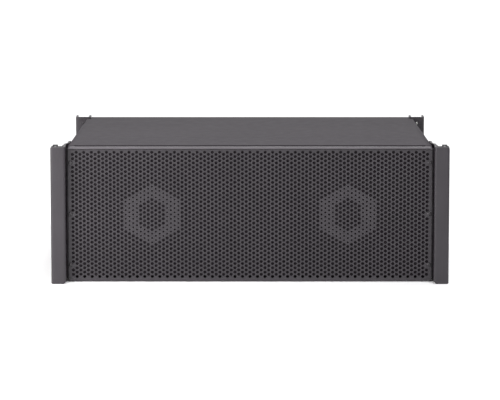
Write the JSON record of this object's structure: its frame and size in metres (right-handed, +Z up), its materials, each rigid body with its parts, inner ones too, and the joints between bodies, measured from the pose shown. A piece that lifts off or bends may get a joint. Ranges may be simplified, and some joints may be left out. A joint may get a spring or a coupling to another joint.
{
  "type": "line array speaker",
  "caption": "Compact wedge-shaped line array loudspeaker with a full-width perforated grille, steel rigging rails, sliding front links, rear splay arms and pull pins.",
  "frame": {"origin": "under the middle of the object, level with the lower ends of the front rails", "axes": "+X to the right of someone facing the grille, +Y to the rear, +Z up; the grille faces -Y"},
  "size_m": [0.742, 0.45, 0.26],
  "materials": {
    "cabinet_paint": "matte",
    "bare_plywood": "matte",
    "painted_steel": "satin",
    "foam": "matte",
    "black_screw": "satin",
    "cast_aluminium": "satin",
    "ferrite": "matte",
    "surround_rubber": "matte",
    "cone_paper": "matte",
    "spider_cloth": "matte",
    "coil_copper": "satin",
    "zinc_steel": "satin",
    "cable_sleeve": "matte",
    "black_plastic": "matte",
    "titanium": "satin",
    "circuit_board": "satin"
  },
  "bodies": {
    "cabinet": {"top_panel": "cabinet_paint", "bottom_panel": "cabinet_paint", "side_panel_left": "cabinet_paint", "side_panel_right": "cabinet_paint", "rear_panel": "cabinet_paint", "front_baffle": "bare_plywood", "grille": "painted_steel", "front_rail_left": "painted_steel", "front_rail_right": "painted_steel", "rear_rail_left": "painted_steel", "rear_rail_right": "painted_steel", "handle_left": "painted_steel", "handle_right": "painted_steel", "input_panel": "painted_steel", "grille_foam": "foam", "grille_screw_1": "black_screw", "grille_screw_2": "black_screw", "grille_screw_3": "black_screw", "grille_screw_4": "black_screw", "grille_screw_5": "black_screw", "grille_screw_6": "black_screw", "woofer_left_basket": "cast_aluminium", "woofer_left_motor": "ferrite", "woofer_left_surround": "surround_rubber", "woofer_left_spider": "spider_cloth", "arm_pivot_pin_left": "zinc_steel", "cable_woofer_left": "cable_sleeve", "woofer_right_basket": "cast_aluminium", "woofer_right_motor": "ferrite", "woofer_right_surround": "surround_rubber", "woofer_right_spider": "spider_cloth", "arm_pivot_pin_right": "zinc_steel", "cable_woofer_right": "cable_sleeve", "cable_hf": "cable_sleeve", "link_guide_left": "black_plastic", "link_guide_right": "black_plastic", "hf_waveguide": "black_plastic", "connector_input": "black_plastic", "connector_link": "black_plastic", "hf_driver_upper": "cast_aluminium", "hf_driver_lower": "cast_aluminium", "crossover_board": "circuit_board"},
    "woofer_left_moving": {"woofer_left_cone": "cone_paper", "woofer_left_dust_cap": "cone_paper", "woofer_left_voice_coil": "coil_copper"},
    "woofer_right_moving": {"woofer_right_cone": "cone_paper", "woofer_right_dust_cap": "cone_paper", "woofer_right_voice_coil": "coil_copper"},
    "hf_diaphragm_upper": {"hf_diaphragm_upper": "titanium"},
    "hf_diaphragm_lower": {"hf_diaphragm_lower": "titanium"},
    "front_link_left": {"front_link_left": "zinc_steel"},
    "front_link_right": {"front_link_right": "zinc_steel"},
    "rear_arm_left": {"rear_arm_left": "zinc_steel"},
    "rear_arm_right": {"rear_arm_right": "zinc_steel"},
    "pull_pin_front_upper_left": {"pull_pin_front_upper_left": "zinc_steel"},
    "pull_pin_front_lower_left": {"pull_pin_front_lower_left": "zinc_steel"},
    "pull_pin_rear_left": {"pull_pin_rear_left": "zinc_steel"},
    "pull_pin_front_upper_right": {"pull_pin_front_upper_right": "zinc_steel"},
    "pull_pin_front_lower_right": {"pull_pin_front_lower_right": "zinc_steel"},
    "pull_pin_rear_right": {"pull_pin_rear_right": "zinc_steel"}
  },
  "joints": [
    {"name": "woofer_left_excursion", "type": "slide", "parent": "cabinet", "child": "woofer_left_moving", "axis": [0, -1, 0], "range_m": [-0.007, 0.007], "stiffness_N_per_m": 2200, "deforming": ["woofer_left_surround", "woofer_left_spider"]},
    {"name": "woofer_right_excursion", "type": "slide", "parent": "cabinet", "child": "woofer_right_moving", "axis": [0, -1, 0], "range_m": [-0.007, 0.007], "stiffness_N_per_m": 2200, "deforming": ["woofer_right_surround", "woofer_right_spider"]},
    {"name": "hf_diaphragm_upper_travel", "type": "slide", "parent": "cabinet", "child": "hf_diaphragm_upper", "axis": [0, -1, 0], "range_m": [-0.0003, 0.0003], "stiffness_N_per_m": 2000},
    {"name": "hf_diaphragm_lower_travel", "type": "slide", "parent": "cabinet", "child": "hf_diaphragm_lower", "axis": [0, -1, 0], "range_m": [-0.0003, 0.0003], "stiffness_N_per_m": 2000},
    {"name": "front_link_left_slide", "type": "slide", "parent": "cabinet", "child": "front_link_left", "axis": [0, 0, 1], "range_m": [0, 0.062]},
    {"name": "front_link_right_slide", "type": "slide", "parent": "cabinet", "child": "front_link_right", "axis": [0, 0, 1], "range_m": [0, 0.062]},
    {"name": "rear_arm_left_swing", "type": "hinge", "parent": "cabinet", "child": "rear_arm_left", "pos_m": [-0.32605, 0.203, 0.219], "axis": [1, 0, 0], "range_deg": [0, 180]},
    {"name": "rear_arm_right_swing", "type": "hinge", "parent": "cabinet", "child": "rear_arm_right", "pos_m": [0.32605, 0.203, 0.219], "axis": [1, 0, 0], "range_deg": [0, 180]},
    {"name": "pull_pin_front_upper_left_pull", "type": "slide", "parent": "cabinet", "child": "pull_pin_front_upper_left", "axis": [-1, 0, 0], "range_m": [0, 0.024]},
    {"name": "pull_pin_front_lower_left_pull", "type": "slide", "parent": "cabinet", "child": "pull_pin_front_lower_left", "axis": [-1, 0, 0], "range_m": [0, 0.024]},
    {"name": "pull_pin_rear_left_pull", "type": "slide", "parent": "cabinet", "child": "pull_pin_rear_left", "axis": [-1, 0, 0], "range_m": [0, 0.032]},
    {"name": "pull_pin_front_upper_right_pull", "type": "slide", "parent": "cabinet", "child": "pull_pin_front_upper_right", "axis": [1, 0, 0], "range_m": [0, 0.024]},
    {"name": "pull_pin_front_lower_right_pull", "type": "slide", "parent": "cabinet", "child": "pull_pin_front_lower_right", "axis": [1, 0, 0], "range_m": [0, 0.024]},
    {"name": "pull_pin_rear_right_pull", "type": "slide", "parent": "cabinet", "child": "pull_pin_rear_right", "axis": [1, 0, 0], "range_m": [0, 0.032]}
  ]
}
